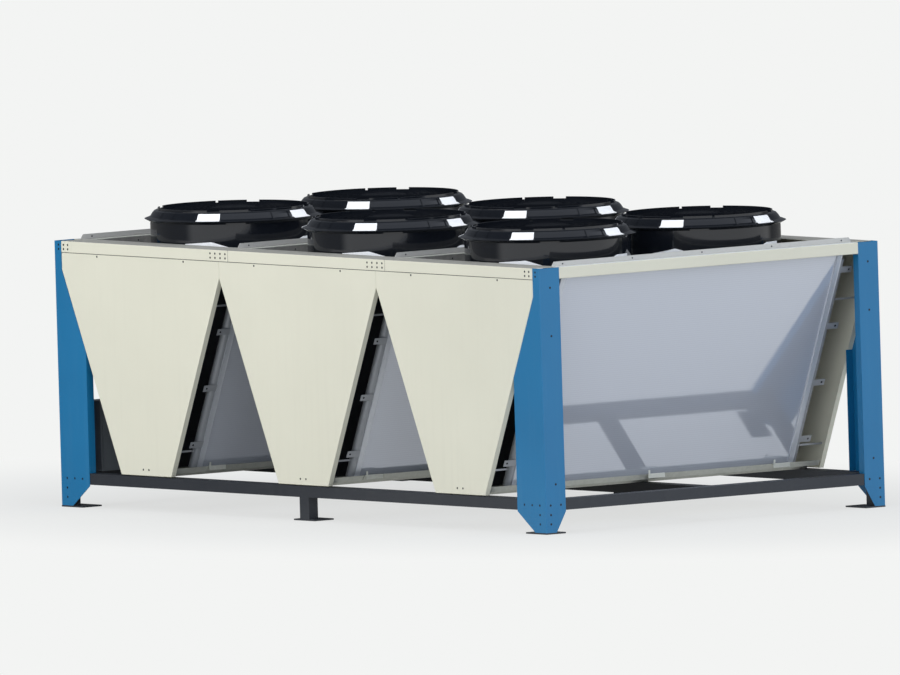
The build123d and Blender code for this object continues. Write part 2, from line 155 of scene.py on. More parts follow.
def powderCoat(name, look):
    material, tree, place = startMaterial(name)
    cloud = addNode(tree, "ShaderNodeTexNoise", {"Scale": 1 / look["cloud"], "Detail": coat["cloudDetail"]},
                    {"Vector": place})
    paint = addNode(tree, "ShaderNodeMix", {"data_type": "RGBA", 6: linear(look["light"]), 7: linear(look["dark"])},
                    {0: cloud.outputs["Fac"]})
    runScale = (1 / look["runWidth"], 1 / look["runWidth"], 1 / look["runLength"])
    drawn = addNode(tree, "ShaderNodeMapping", {"Scale": runScale}, {"Vector": place})
    runs = addNode(tree, "ShaderNodeTexNoise",
                   {"Scale": 1.0, "Detail": coat["runDetail"], "Roughness": coat["runRough"]},
                   {"Vector": drawn.outputs[0]})
    height = addNode(tree, "ShaderNodeSeparateXYZ", links={"Vector": place})
    low = addNode(tree, "ShaderNodeMapRange",
                  {"From Min": look["runTop"], "From Max": 0.0, "To Min": coat["runHigh"], "To Max": 1.0},
                  {"Value": height.outputs["Z"]})
    cut = addNode(tree, "ShaderNodeMapRange",
                  {"From Min": coat["runFrom"], "From Max": coat["runTo"], "To Min": 0.0, "To Max": look["runShare"]},
                  {"Value": runs.outputs["Fac"]})
    share = addNode(tree, "ShaderNodeMath", {"operation": "MULTIPLY"}, {0: low.outputs[0], 1: cut.outputs[0]})
    dusty = addNode(tree, "ShaderNodeMix", {"data_type": "RGBA", 7: linear(look["dust"])},
                    {0: share.outputs[0], 6: paint.outputs[2]})
    # real orange peel is 1 to 2 mm wide; it is drawn coarser so that it shows
    peel = addNode(tree, "ShaderNodeTexNoise", {"Scale": 1 / look["peel"], "Detail": coat["peelDetail"]},
                   {"Vector": place})
    bump = addNode(tree, "ShaderNodeBump", {"Strength": look["peelStrength"], "Distance": coat["peelDepth"]},
                   {"Height": peel.outputs["Fac"]})
    gloss = addNode(tree, "ShaderNodeMapRange",
                    {"To Min": look["gloss"] - coat["glossLess"], "To Max": look["gloss"] + coat["glossMore"]},
                    {"Value": runs.outputs["Fac"]})
    skin = dusty.outputs[2]
    if "zincTop" in look:
        # the cut and folded top leaf is bare galvanised sheet, so only standing faces carry paint
        facing = addNode(tree, "ShaderNodeNewGeometry")
        upward = addNode(tree, "ShaderNodeSeparateXYZ", links={"Vector": facing.outputs["Normal"]})
        flat = addNode(tree, "ShaderNodeMath", {"operation": "GREATER_THAN", 1: coat["lying"]},
                       {0: upward.outputs["Z"]})
        flake = addNode(tree, "ShaderNodeTexVoronoi", {"Scale": 1 / look["spangle"]}, {"Vector": place})
        zinc = addNode(tree, "ShaderNodeMix",
                       {"data_type": "RGBA", 6: linear(look["zincTop"]), 7: linear(look["zincDark"])},
                       {0: flake.outputs["Color"]})
        both = addNode(tree, "ShaderNodeMix", {"data_type": "RGBA"},
                       {0: flat.outputs[0], 6: skin, 7: zinc.outputs[2]})
        skin = both.outputs[2]
    shader = addNode(tree, "ShaderNodeBsdfPrincipled", {"IOR": coat["index"], "Specular IOR Level": look["sheen"]},
                     {"Base Color": skin, "Roughness": gloss.outputs[0], "Normal": bump.outputs[0]})
    endMaterial(tree, shader)
    return material


# hot-dip galvanised sheet: crystal flakes of two greys, a dull metal sheen, white bloom in patches
galvanisedLook = {"light": "#A6AAA9", "dark": "#8E9393", "bloom": "#B4B8B6", "spangle": 0.016,
                  "patch": 0.25, "patchDetail": 5.0, "bloomFrom": 0.5, "bloomTo": 0.75, "bloomShare": 0.4,
                  "gloss": 0.5, "glossLess": 0.1, "glossMore": 0.12, "metal": 0.35}
# the beam's sheet colours are a darker copy of the galvanised sheet, painted shade on the web under the hoods; its
# leaf colour is painted light
beamShadeAndLightLook = dict(galvanisedLook, light="#8C8A85", dark="#7A7874", bloom="#989691",
                leaf="#CBCAC5", leafShare=0.8, leafFrom=topZ + 0.5 * mm)
trayLook = dict(galvanisedLook, light="#B9BAB0", dark="#ADAFA5", bloom="#BFC0B8")
clipLook = dict(galvanisedLook, light="#D2D3C8", dark="#C6C8BD", bloom="#D8D9D0")


def galvanisedSteel(name, look):
    material, tree, place = startMaterial(name)
    flake = addNode(tree, "ShaderNodeTexVoronoi", {"Scale": 1 / look["spangle"]}, {"Vector": place})
    tone = addNode(tree, "ShaderNodeMix", {"data_type": "RGBA", 6: linear(look["light"]), 7: linear(look["dark"])},
                   {0: flake.outputs["Color"]})
    patch = addNode(tree, "ShaderNodeTexNoise", {"Scale": 1 / look["patch"], "Detail": look["patchDetail"]},
                    {"Vector": place})
    bloomed = addNode(tree, "ShaderNodeMapRange",
                      {"From Min": look["bloomFrom"], "From Max": look["bloomTo"], "To Max": look["bloomShare"]},
                      {"Value": patch.outputs["Fac"]})
    skin = addNode(tree, "ShaderNodeMix", {"data_type": "RGBA", 7: linear(look["bloom"])},
                   {0: bloomed.outputs[0], 6: tone.outputs[2]})
    if "leaf" in look:
        # the standing leaf is painted lighter than the folded web under it: painted light on the leaf, with the
        # darker sheet colours as painted shade on the web
        height = addNode(tree, "ShaderNodeSeparateXYZ", links={"Vector": place})
        standing = addNode(tree, "ShaderNodeMath", {"operation": "GREATER_THAN", 1: look["leafFrom"]},
                           {0: height.outputs["Z"]})
        litLeafShare = addNode(tree, "ShaderNodeMath", {"operation": "MULTIPLY", 1: look["leafShare"]},
                       {0: standing.outputs[0]})
        skin = addNode(tree, "ShaderNodeMix", {"data_type": "RGBA", 7: linear(look["leaf"])},
                       {0: litLeafShare.outputs[0], 6: skin.outputs[2]})
    gloss = addNode(tree, "ShaderNodeMapRange",
                    {"To Min": look["gloss"] - look["glossLess"], "To Max": look["gloss"] + look["glossMore"]},
                    {"Value": flake.outputs["Distance"]})
    shader = addNode(tree, "ShaderNodeBsdfPrincipled", {"Metallic": look["metal"]},
                     {"Base Color": skin.outputs[2], "Roughness": gloss.outputs[0]})
    endMaterial(tree, shader)
    return material


# brazed aluminium coil: flat tubes one above the other with louvred fins between, a pale bluish sheen
coilLook = {"fin": "#CFD3DB", "tube": "#C9CDD5", "shadow": "#BCC0C9", "gapShare": 0.35,
            "tubePitch": 0.0115, "finPitch": 0.007, "cloud": 0.5, "cloudDetail": 3.0,
            "gloss": 0.06, "spread": 0.015, "metal": 0.36, "relief": 0.015, "reliefDepth": 0.001,
            "innerShade": "#3E4145", "dull": 0.6, "innerFrom": 0.2}


def finnedAluminium(name, look):
    material, tree, place = startMaterial(name)
    # a wave band repeats every 2 pi / (20 x scale)
    tubes = addNode(tree, "ShaderNodeTexWave",
                    {"bands_direction": "Z", "Scale": math.pi / 10 / look["tubePitch"]}, {"Vector": place})
    # fins stand about 1.3 mm apart; they are drawn wider apart so that they show
    fins = addNode(tree, "ShaderNodeTexWave",
                   {"bands_direction": "Y", "Scale": math.pi / 10 / look["finPitch"]}, {"Vector": place})
    rows = addNode(tree, "ShaderNodeMix", {"data_type": "RGBA", 6: linear(look["fin"]), 7: linear(look["tube"])},
                   {0: tubes.outputs["Fac"]})
    gaps = addNode(tree, "ShaderNodeMapRange", {"To Max": look["gapShare"]}, {"Value": fins.outputs["Fac"]})
    ruled = addNode(tree, "ShaderNodeMix", {"data_type": "RGBA", 7: linear(look["shadow"])},
                    {0: gaps.outputs[0], 6: rows.outputs[2]})
    cloud = addNode(tree, "ShaderNodeTexNoise", {"Scale": 1 / look["cloud"], "Detail": look["cloudDetail"]},
                    {"Vector": place})
    gloss = addNode(tree, "ShaderNodeMapRange",
                    {"To Min": look["gloss"] - look["spread"], "To Max": look["gloss"] + look["spread"]},
                    {"Value": cloud.outputs["Fac"]})
    bump = addNode(tree, "ShaderNodeBump", {"Strength": look["relief"], "Distance": look["reliefDepth"]},
                   {"Height": fins.outputs["Fac"]})
    # the inner face leans back under the fans; it is painted darker as painted shade, and it is duller
    facing = addNode(tree, "ShaderNodeNewGeometry")
    upward = addNode(tree, "ShaderNodeSeparateXYZ", links={"Vector": facing.outputs["Normal"]})
    inner = addNode(tree, "ShaderNodeMath", {"operation": "GREATER_THAN", 1: look["innerFrom"]},
                    {0: upward.outputs["Z"]})
    innerShaded = addNode(tree, "ShaderNodeMix", {"data_type": "RGBA", 7: linear(look["innerShade"])},
                     {0: inner.outputs[0], 6: ruled.outputs[2]})
    dulled = addNode(tree, "ShaderNodeMapRange", {"To Max": look["dull"]}, {"Value": inner.outputs[0]})
    rough = addNode(tree, "ShaderNodeMath", {"operation": "ADD"}, {0: gloss.outputs[0], 1: dulled.outputs[0]})
    shader = addNode(tree, "ShaderNodeBsdfPrincipled", {"Metallic": look["metal"]},
                     {"Base Color": innerShaded.outputs[2], "Roughness": rough.outputs[0], "Normal": bump.outputs[0]})
    endMaterial(tree, shader)
    return material


# moulded polypropylene with glass fibre: near black, glossy, a fine spark texture, thin dust where it faces up
plasticLook = {"light": "#16191F", "dark": "#101318", "dust": "#1D2024", "dustFrom": 0.3, "dustShare": 0.7,
               "cloud": 0.2, "cloudDetail": 4.0, "spark": 0.004, "sparkDetail": 2.0, "sparkStrength": 0.02,
               "sparkDepth": 0.0005, "gloss": 0.07, "glossLess": 0.03, "glossMore": 0.04, "index": 1.58}


def mouldedPlastic(name, look):
    material, tree, place = startMaterial(name)
    cloud = addNode(tree, "ShaderNodeTexNoise", {"Scale": 1 / look["cloud"], "Detail": look["cloudDetail"]},
                    {"Vector": place})
    body = addNode(tree, "ShaderNodeMix", {"data_type": "RGBA", 6: linear(look["light"]), 7: linear(look["dark"])},
                   {0: cloud.outputs["Fac"]})
    facing = addNode(tree, "ShaderNodeNewGeometry")
    upward = addNode(tree, "ShaderNodeSeparateXYZ", links={"Vector": facing.outputs["Normal"]})
    lying = addNode(tree, "ShaderNodeMapRange",
                    {"From Min": look["dustFrom"], "From Max": 1.0, "To Max": look["dustShare"]},
                    {"Value": upward.outputs["Z"]})
    settled = addNode(tree, "ShaderNodeMath", {"operation": "MULTIPLY"},
                      {0: lying.outputs[0], 1: cloud.outputs["Fac"]})
    skin = addNode(tree, "ShaderNodeMix", {"data_type": "RGBA", 7: linear(look["dust"])},
                   {0: settled.outputs[0], 6: body.outputs[2]})
    # the spark texture is finer than a millimetre; it is drawn coarser so that it shows
    spark = addNode(tree, "ShaderNodeTexNoise", {"Scale": 1 / look["spark"], "Detail": look["sparkDetail"]},
                    {"Vector": place})
    bump = addNode(tree, "ShaderNodeBump", {"Strength": look["sparkStrength"], "Distance": look["sparkDepth"]},
                   {"Height": spark.outputs["Fac"]})
    gloss = addNode(tree, "ShaderNodeMapRange",
                    {"To Min": look["gloss"] - look["glossLess"], "To Max": look["gloss"] + look["glossMore"]},
                    {"Value": cloud.outputs["Fac"]})
    shader = addNode(tree, "ShaderNodeBsdfPrincipled", {"IOR": look["index"]},
                     {"Base Color": skin.outputs[2], "Roughness": gloss.outputs[0], "Normal": bump.outputs[0]})
    endMaterial(tree, shader)
    return material


# fasteners, film plates, wire, the dark strips of painted shadow in the rail joints, and plain tube: one even skin
# with a fine grain
grained = {"detail": 3.0, "glossLess": 0.06, "glossMore": 0.1}
blackScrewLook = {"light": "#24272A", "dark": "#15181A", "grain": 0.004, "gloss": 0.42, "metal": 0.5}
plateLook = {"light": "#FFFFFF", "dark": "#F4F5F3", "grain": 0.02, "gloss": 0.4, "metal": 0.0}
edgeLook = {"light": "#D3D6DB", "dark": "#C6CACF", "grain": 0.02, "gloss": 0.3, "metal": 0.35}
shadowGapLook = {"light": "#4A4B47", "dark": "#3A3B38", "grain": 0.006, "gloss": 0.6, "metal": 0.0}
wireLook = {"light": "#24272B", "dark": "#181B1F", "grain": 0.01, "gloss": 0.38, "metal": 0.2}
headerLook = {"light": "#A4A7AA", "dark": "#94979A", "grain": 0.03, "gloss": 0.45, "metal": 0.3}


def smallPart(name, look):
    material, tree, place = startMaterial(name)
    grain = addNode(tree, "ShaderNodeTexNoise", {"Scale": 1 / look["grain"], "Detail": grained["detail"]},
                    {"Vector": place})
    skin = addNode(tree, "ShaderNodeMix", {"data_type": "RGBA", 6: linear(look["light"]), 7: linear(look["dark"])},
                   {0: grain.outputs["Fac"]})
    gloss = addNode(tree, "ShaderNodeMapRange",
                    {"To Min": look["gloss"] - grained["glossLess"], "To Max": look["gloss"] + grained["glossMore"]},
                    {"Value": grain.outputs["Fac"]})
    shader = addNode(tree, "ShaderNodeBsdfPrincipled", {"Metallic": look["metal"]},
                     {"Base Color": skin.outputs[2], "Roughness": gloss.outputs[0]})
    endMaterial(tree, shader)
    return material


blackScrew = smallPart("blackOxideSteel", blackScrewLook)
whitePlate = smallPart("whitePolyesterFilm", plateLook)
guardWire = smallPart("coatedSteelWire", wireLook)
edgeSheet = smallPart("milledAluminiumSheet", edgeLook)
# the dark strips in the rail joints are painted shadow
shadowGapFinish = smallPart("shadowGapStrip", shadowGapLook)
clipFinish = galvanisedSteel("brightGalvanisedSheet", clipLook)

# each node takes the finish of its slot, apart from those whose name starts as here
slotFinishes = {
    "ivory_paint": powderCoat("ivoryPowderCoat", ivoryLook),
    "blue_paint": powderCoat("bluePowderCoat", blueLook),
    "dark_paint": powderCoat("darkPowderCoat", darkLook),
    "galvanised": galvanisedSteel("galvanisedSheet", galvanisedLook),
    "coil_aluminium": finnedAluminium("brazedAluminiumFins", coilLook),
    "fan_plastic": mouldedPlastic("mouldedPolypropylene", plasticLook),
    "cabinet_grey": powderCoat("greyPowderCoat", cabinetLook),
}
nodeFinishes = (
    ("top_rails", powderCoat("ivoryRailOnGalvanised", railLook)),
    ("top_rail_", powderCoat("ivoryEndRailOnGalvanised", litEndRailLook)),
    ("base_middle_rail", powderCoat("darkPowderCoatPaintedShade", shadedMiddleRailLook)),
    ("coil_trays", galvanisedSteel("passivatedGalvanisedSheet", trayLook)),
    ("deck_beam", galvanisedSteel("galvanisedBeamSheet", beamShadeAndLightLook)),
    ("coil_headers", smallPart("dullAluminiumTube", headerLook)),
)
for entry in frame["record"]["subparts"]:
    own = [finish for start, finish in nodeFinishes if entry["node"].startswith(start)]
    for place in nodes[entry["node"]].material_slots:
        place.material = own[0] if own else slotFinishes[entry["material_slot"]]
print("finishes on the frame")


def keepPiece(bm, name, finish):
    bmesh.ops.recalc_face_normals(bm, faces=bm.faces)
    mesh = bpy.data.meshes.new(name)
    bm.to_mesh(mesh)
    bm.free()
    mesh.materials.append(finish)
    piece = bpy.data.objects.new(name, mesh)
    bpy.context.scene.collection.objects.link(piece)
    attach(piece, "root")
    print("made", name, len(mesh.polygons), "faces")
    return piece


# the vertices among what an operator made
def newVerts(grown):
    return [v for v in grown["geom"] if isinstance(v, bmesh.types.BMVert)]


# one low round head with a socket, standing on the XY plane
head = {"sides": 10, "skirt": 0.45, "skirtIn": 0.97, "dome": 0.55, "crown": 0.72, "socket": 0.42, "sink": 0.45}


def headMesh(radius, height):
    bm = bmesh.new()
    bmesh.ops.create_circle(bm, cap_ends=True, segments=head["sides"], radius=radius)
    for lift, scale in ((head["skirt"], head["skirtIn"]), (head["dome"], head["crown"])):
        top = max(bm.faces, key=lambda f: f.calc_center_median().z)
        rim = newVerts(bmesh.ops.extrude_face_region(bm, geom=[top]))
        bmesh.ops.translate(bm, verts=rim, vec=(0, 0, height * lift))
        bmesh.ops.scale(bm, verts=rim, vec=(scale, scale, 1))
        bmesh.ops.delete(bm, geom=[top], context="FACES_ONLY")
    top = max(bm.faces, key=lambda f: f.calc_center_median().z)
    bmesh.ops.inset_region(bm, faces=[top], thickness=radius * (head["crown"] - head["socket"]))
    rim = newVerts(bmesh.ops.extrude_face_region(bm, geom=[top]))
    bmesh.ops.translate(bm, verts=rim, vec=(0, 0, -height * head["sink"]))
    bmesh.ops.delete(bm, geom=[top], context="FACES_ONLY")
    mesh = bpy.data.meshes.new("head")
    bm.to_mesh(mesh)
    bm.free()
    return mesh


# sets a head at each point, turned so that it stands on a face with the given normal
def addHeads(bm, mesh, points, normal):
    turn = Vector((0, 0, 1)).rotation_difference(Vector(normal)).to_matrix().to_4x4()
    for point in points:
        start = len(bm.verts)
        bm.from_mesh(mesh)
        bm.verts.ensure_lookup_table()
        bmesh.ops.transform(bm, matrix=Matrix.Translation(point) @ turn, verts=bm.verts[start:])


# rivets on the long top rails, in pairs at the ends and in two rows of four over each joint
railRivets = {"radius": 6.2 * mm, "height": 0.5 * mm, "down": (20 * mm, 43 * mm), "leftEnd": (19 * mm, 55 * mm),
              "joint": (-71 * mm, -29 * mm, 15 * mm, 58 * mm), "rightEnd": (-66 * mm, -30 * mm)}


def makeRailRivets(look):
    bm = bmesh.new()
    mesh = headMesh(look["radius"], look["height"])
    across = [boundX[0] + d for d in look["leftEnd"]] + [boundX[3] + d for d in look["rightEnd"]]
    across += [x + d for x in boundX[1:3] for d in look["joint"]]
    for sign in (-1, 1):
        points = [(-sign * x, sign * halfY, topZ - d) for x in across for d in look["down"]]
        addHeads(bm, mesh, points, (0, sign, 0))
    keepPiece(bm, "rail_rivets", blackScrew)


makeRailRivets(railRivets)

# screws on the blue corner posts: a row and a column at each foot, three up the end leaf, two at the top
# each is a pair in mm: from the corner, and up
postScrews = {"radius": 6.4 * mm, "height": 0.5 * mm,
              "wide": ((53, 155), (119, 155), (186, 155), (53, 104), (53, 54), (36, 1404), (36, 1381)),
              "narrow": ((33, 155), (102, 155), (33, 104), (33, 54), (71, 266), (71, 1060), (71, 1319))}


def makePostScrews(look):
    bm = bmesh.new()
    mesh = headMesh(look["radius"], look["height"])
    for sx in (-1, 1):
        for sy in (-1, 1):
            wide = [(sx * (halfX - d * mm), sy * halfY, z * mm) for d, z in look["wide"]]
            narrow = [(sx * halfX, sy * (halfY - d * mm), z * mm) for d, z in look["narrow"]]
            addHeads(bm, mesh, wide, (0, sy, 0))
            addHeads(bm, mesh, narrow, (sx, 0, 0))
    keepPiece(bm, "post_screws", blackScrew)


makePostScrews(postScrews)

# screws that hold each sloped end panel: two under the rail and two at the foot
panelScrews = {"radius": 6 * mm, "height": 0.5 * mm, "underRail": 12 * mm, "side": 374 * mm,
               "foot": 223 * mm, "footSide": 24 * mm}


def makePanelScrews(look):
    bm = bmesh.new()
    mesh = headMesh(look["radius"], look["height"])
    for sign in (-1, 1):
        points = []
        for cx in moduleX:
            for side in (-1, 1):
                points.append((cx + side * look["side"], sign * halfY, railZ - look["underRail"]))
                points.append((cx + side * look["footSide"], sign * halfY, look["foot"]))
        addHeads(bm, mesh, points, (0, sign, 0))
    keepPiece(bm, "panel_screws", blackScrew)


makePanelScrews(panelScrews)

# bare white plates on the two sides of each hood that show: one on the dome, one low on the ring
# the slope is in mm, out from the ring and up from the brim
domePlates = {"turns": (-55.8, 15.2), "arc": 16.4, "steps": 6, "thick": 0.8 * mm, "lift": 0.6 * mm,
              "ringRadius": 446 * mm, "brimRise": 117 * mm, "slope": ((21, 3.4), (0, 11), (-12, 30), (-21, 40))}


def makeDomePlates(look):
    bm = bmesh.new()
    for fx, fy in fanSpots:
        for turn in look["turns"]:
            start = math.radians(turn - look["arc"] / 2)
            line = []
            for out, rise in look["slope"]:
                far = look["ringRadius"] + out * mm + look["lift"]
                up = topZ + look["brimRise"] + rise * mm + look["lift"]
                line.append(bm.verts.new((fx + far * math.cos(start), fy + far * math.sin(start), up)))
            edges = [bm.edges.new(pair) for pair in zip(line[:-1], line[1:])]
            bmesh.ops.spin(bm, geom=line + edges, cent=(fx, fy, 0), axis=(0, 0, 1),
                           angle=math.radians(look["arc"]), steps=look["steps"],
                           use_merge=False, use_duplicate=False)
    bmesh.ops.recalc_face_normals(bm, faces=bm.faces)
    bmesh.ops.solidify(bm, geom=bm.faces, thickness=look["thick"])
    keepPiece(bm, "dome_plates", whitePlate)


makeDomePlates(domePlates)

# the low plates curve with the ring, and their top edge follows a few straight cuts: degrees on, and height
ringPlates = {"ringRadius": 446 * mm, "steps": 24, "thick": 0.8 * mm, "lift": 0.6 * mm, "low": -42 * mm,
              "front": {"turn": -74.0, "arc": 32.0,
                        "top": ((0.0, -1.6 * mm), (20.5, 8 * mm), (32.0, -20 * mm))},
              "rear": {"turn": -74.0, "arc": 32.0,
                       "top": ((0.0, -24 * mm), (14.3, -4.2 * mm), (20.5, 6.5 * mm), (32.0, -21 * mm))},
              "end": {"turn": 13.0, "arc": 20.0,
                      "top": ((0.0, 3 * mm), (4.5, 15 * mm), (20.0, 13 * mm))}}


def cutHeight(top, past):
    for (a, low), (b, high) in zip(top[:-1], top[1:]):
        if past <= b:
            return low + (high - low) * (past - a) / (b - a)
    return top[-1][1]


def makeRingPlates(look):
    bm = bmesh.new()
    far = look["ringRadius"] + look["lift"]
    for fx, fy in fanSpots:
        for plate in (look["front"] if fy < 0 else look["rear"], look["end"]):
            start = math.radians(plate["turn"])
            before = len(bm.verts)
            line = [bm.verts.new((fx + far * math.cos(start), fy + far * math.sin(start), z))
                    for z in (topZ + look["low"], topZ)]
            edge = bm.edges.new(line)
            bmesh.ops.spin(bm, geom=line + [edge], cent=(fx, fy, 0), axis=(0, 0, 1),
                           angle=math.radians(plate["arc"]), steps=look["steps"],
                           use_merge=False, use_duplicate=False)
            bm.verts.ensure_lookup_table()
            for vert in bm.verts[before:]:
                if vert.co.z > topZ + look["low"] / 2:
                    past = math.degrees(math.atan2(vert.co.y - fy, vert.co.x - fx)) - plate["turn"]
                    vert.co.z = topZ + cutHeight(plate["top"], past)
    bmesh.ops.recalc_face_normals(bm, faces=bm.faces)
    bmesh.ops.solidify(bm, geom=bm.faces, thickness=look["thick"])
    keepPiece(bm, "ring_plates", whitePlate)


makeRingPlates(ringPlates)

# wire guard over each fan: rings of round wire on flat spokes, in place of the plain guard
# the boss over the motor is dished: shares of the first ring's radius, and heights
wireGuard = {"firstRing": 125 * mm, "pitch": 34 * mm, "wire": 2.4 * mm, "ringSides": 6, "ringSteps": 64,
             "spokes": 12, "spokeFrom": 0.9, "spokeWide": 7 * mm, "spokeTall": 3 * mm, "bossSteps": 48,
             "boss": ((0.0, 7.5 * mm), (0.55, 7 * mm), (0.92, 4.5 * mm), (1.0, 0.0), (0.0, 0.0)),
             "join": 0.001 * mm}


def makeWireGuard(look):
    low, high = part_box("fan_guards")
    reach = high.x - fanSpots[-1][0]
    level = low.z + look["wire"] + look["spokeTall"]
    outer = reach - look["wire"]
    bm = bmesh.new()
    radius = look["firstRing"]
    while radius < outer:
        radius = min(radius + look["pitch"], outer)
        loop = bmesh.ops.create_circle(bm, segments=look["ringSides"], radius=look["wire"])["verts"]
        upright = Matrix.Rotation(math.radians(90), 4, "X")
        bmesh.ops.transform(bm, verts=loop, matrix=Matrix.Translation((radius, 0, level)) @ upright)
        edges = list({e for v in loop for e in v.link_edges})
        bmesh.ops.spin(bm, geom=loop + edges, cent=(0, 0, 0), axis=(0, 0, 1), angle=2 * math.pi,
                       steps=look["ringSteps"], use_merge=True)
    inner = look["firstRing"] * look["spokeFrom"]
    for k in range(look["spokes"]):
        bar = bmesh.ops.create_cube(bm, size=1.0)["verts"]
        bmesh.ops.scale(bm, verts=bar, vec=(outer - inner, look["spokeWide"], look["spokeTall"]))
        bmesh.ops.translate(bm, verts=bar, vec=((outer + inner) / 2, 0, low.z + look["spokeTall"] / 2))
        turn = Matrix.Rotation(2 * math.pi * k / look["spokes"], 3, "Z")
        bmesh.ops.rotate(bm, verts=bar, cent=(0, 0, 0), matrix=turn)
    rim = [bm.verts.new((share * look["firstRing"], 0, low.z + up)) for share, up in look["boss"]]
    edges = [bm.edges.new(pair) for pair in zip(rim[:-1], rim[1:])]
    bmesh.ops.spin(bm, geom=rim + edges, cent=(0, 0, 0), axis=(0, 0, 1), angle=2 * math.pi,
                   steps=look["bossSteps"], use_merge=True)
    bmesh.ops.remove_doubles(bm, verts=bm.verts, dist=look["join"])
    bmesh.ops.recalc_face_normals(bm, faces=bm.faces)
    one = bpy.data.meshes.new("guard")
    bm.to_mesh(one)
    bm.free()
    bm = bmesh.new()
    for fx, fy in fanSpots:
        start = len(bm.verts)
        bm.from_mesh(one)
        bm.verts.ensure_lookup_table()
        bmesh.ops.translate(bm, verts=bm.verts[start:], vec=(fx, fy, 0))
    piece = keepPiece(bm, "fan_wire_guards", guardWire)
    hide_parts("fan_guards")


makeWireGuard(wireGuard)

# small screws along the standing leaf of each deck beam and on its webs
# leafSide is where the leaf's outer face lies on each beam, in leaf thicknesses
beamScrews = {"radius": 4.4 * mm, "height": 1.6 * mm, "leafUp": 12 * mm, "leafThick": 3 * mm,
              "leafSide": (1.0, 0.5, 0.5, 0.0), "leafFirst": -942 * mm, "leafStep": 473 * mm, "leafCount": 5,
              "webDown": 26 * mm, "webPlaces": (-657 * mm, 0.0, 657 * mm)}


def makeBeamScrews(look):
    bm = bmesh.new()
    mesh = headMesh(look["radius"], look["height"])
    leafY = [look["leafFirst"] + k * look["leafStep"] for k in range(look["leafCount"])]
    webZ = topZ - look["webDown"]
    for n, bx in enumerate(boundX):
        low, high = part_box(f"deck_beam_{n + 1}")
        leafX = bx + look["leafThick"] * look["leafSide"][n]
        addHeads(bm, mesh, [(leafX, y, topZ + look["leafUp"]) for y in leafY], (1, 0, 0))
        if n < 3:
            addHeads(bm, mesh, [(high.x, y, webZ) for y in look["webPlaces"]], (1, 0, 0))
        if n > 0:
            addHeads(bm, mesh, [(low.x, y, webZ) for y in look["webPlaces"]], (-1, 0, 0))
    keepPiece(bm, "beam_screws", blackScrew)


makeBeamScrews(beamScrews)

# rounded folds along the upper edges of the deck beams, in the lighter sheet of the clips as a painted highlight
# along each fold
beamFolds = {"radius": 3.8 * mm, "sides": 12, "proud": 0.5 * mm, "endGap": 12 * mm}


def makeBeamFolds(look):
    bm = bmesh.new()
    upright = Matrix.Rotation(math.radians(90), 4, "X")
    for n in range(len(boundX)):
        low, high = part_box(f"deck_beam_{n + 1}")
        edges = [high.x - look["radius"] / 2] if n < 3 else []
        edges += [low.x + look["radius"] / 2] if n > 0 else []
        for x in edges:
            ring = bmesh.ops.create_circle(bm, cap_ends=True, segments=look["sides"], radius=look["radius"])["verts"]
            place = Matrix.Translation((x, low.y + look["endGap"], topZ + look["proud"] - look["radius"]))
            bmesh.ops.transform(bm, verts=ring, matrix=place @ upright)
            cap = list({f for v in ring for f in v.link_faces})
            far = newVerts(bmesh.ops.extrude_face_region(bm, geom=cap))
            bmesh.ops.translate(bm, verts=far, vec=(0, high.y - low.y - 2 * look["endGap"], 0))
    keepPiece(bm, "beam_folds", clipFinish)


makeBeamFolds(beamFolds)

# a screw near the end of each fixing tab on the coil headers
tabScrews = {"radius": 6 * mm, "height": 2 * mm, "coilThick": 40 * mm, "proud": 26 * mm, "outward": 66 * mm,
             "levels": (366 * mm, 673.3 * mm, 980.7 * mm, 1288 * mm)}


def makeTabScrews(look):
    bm = bmesh.new()
    mesh = headMesh(look["radius"], look["height"])
    halfThick = look["coilThick"] / math.cos(coilLean) / 2
    for n, sign, side in coilSides:
        low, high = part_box(f"coil_{n + 1}_{side}")
        topFace = high.x if sign > 0 else low.x
        points = []
        for level in look["levels"]:
            axisX = topFace - sign * ((high.z - level) * math.tan(coilLean) + halfThick)
            faceX = axisX + sign * math.cos(coilLean) * look["proud"]
            faceZ = level - math.sin(coilLean) * look["proud"]
            points += [(faceX, way * (high.y + look["outward"]), faceZ) for way in (-1, 1)]
        addHeads(bm, mesh, points, (sign * math.cos(coilLean), 0, -math.sin(coilLean)))
    keepPiece(bm, "tab_screws", blackScrew)


makeTabScrews(tabScrews)

# folded edge channels down both ends of each coil, over the roots of the tabs
coilEdges = {"wide": 34 * mm, "thick": 7 * mm, "groove": 9 * mm, "pressed": -1.2 * mm, "topGap": 4 * mm}


def makeCoilEdges(look):
    bm = bmesh.new()
    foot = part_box("coil_trays")[1].z
    for n, sign, side in coilSides:
        low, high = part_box(f"coil_{n + 1}_{side}")
        topFace = high.x if sign > 0 else low.x
        top = high.z - look["topGap"]
        middle = (top + foot) / 2
        tall = (top - foot) / math.cos(coilLean)
        faceX = topFace - sign * (high.z - middle) * math.tan(coilLean)
        for way in (-1, 1):
            bar = bmesh.ops.create_cube(bm, size=1.0)["verts"]
            bmesh.ops.scale(bm, verts=bar, vec=(look["thick"], look["wide"], tall))
            faces = {f for v in bar for f in v.link_faces}
            outer = max(faces, key=lambda f: sign * f.calc_center_median().x)
            bmesh.ops.inset_region(bm, faces=[outer], thickness=look["groove"], depth=look["pressed"])
            every = list({v for f in faces for v in f.verts} | set(bar))
            place = Vector((faceX, way * (high.y - look["wide"] / 2), middle))
            place += Vector((sign * math.cos(coilLean), 0, -math.sin(coilLean))) * look["thick"] / 2
            turn = Matrix.Rotation(sign * coilLean, 4, "Y")
            bmesh.ops.transform(bm, verts=every, matrix=Matrix.Translation(place) @ turn)
    keepPiece(bm, "coil_edges", edgeSheet)


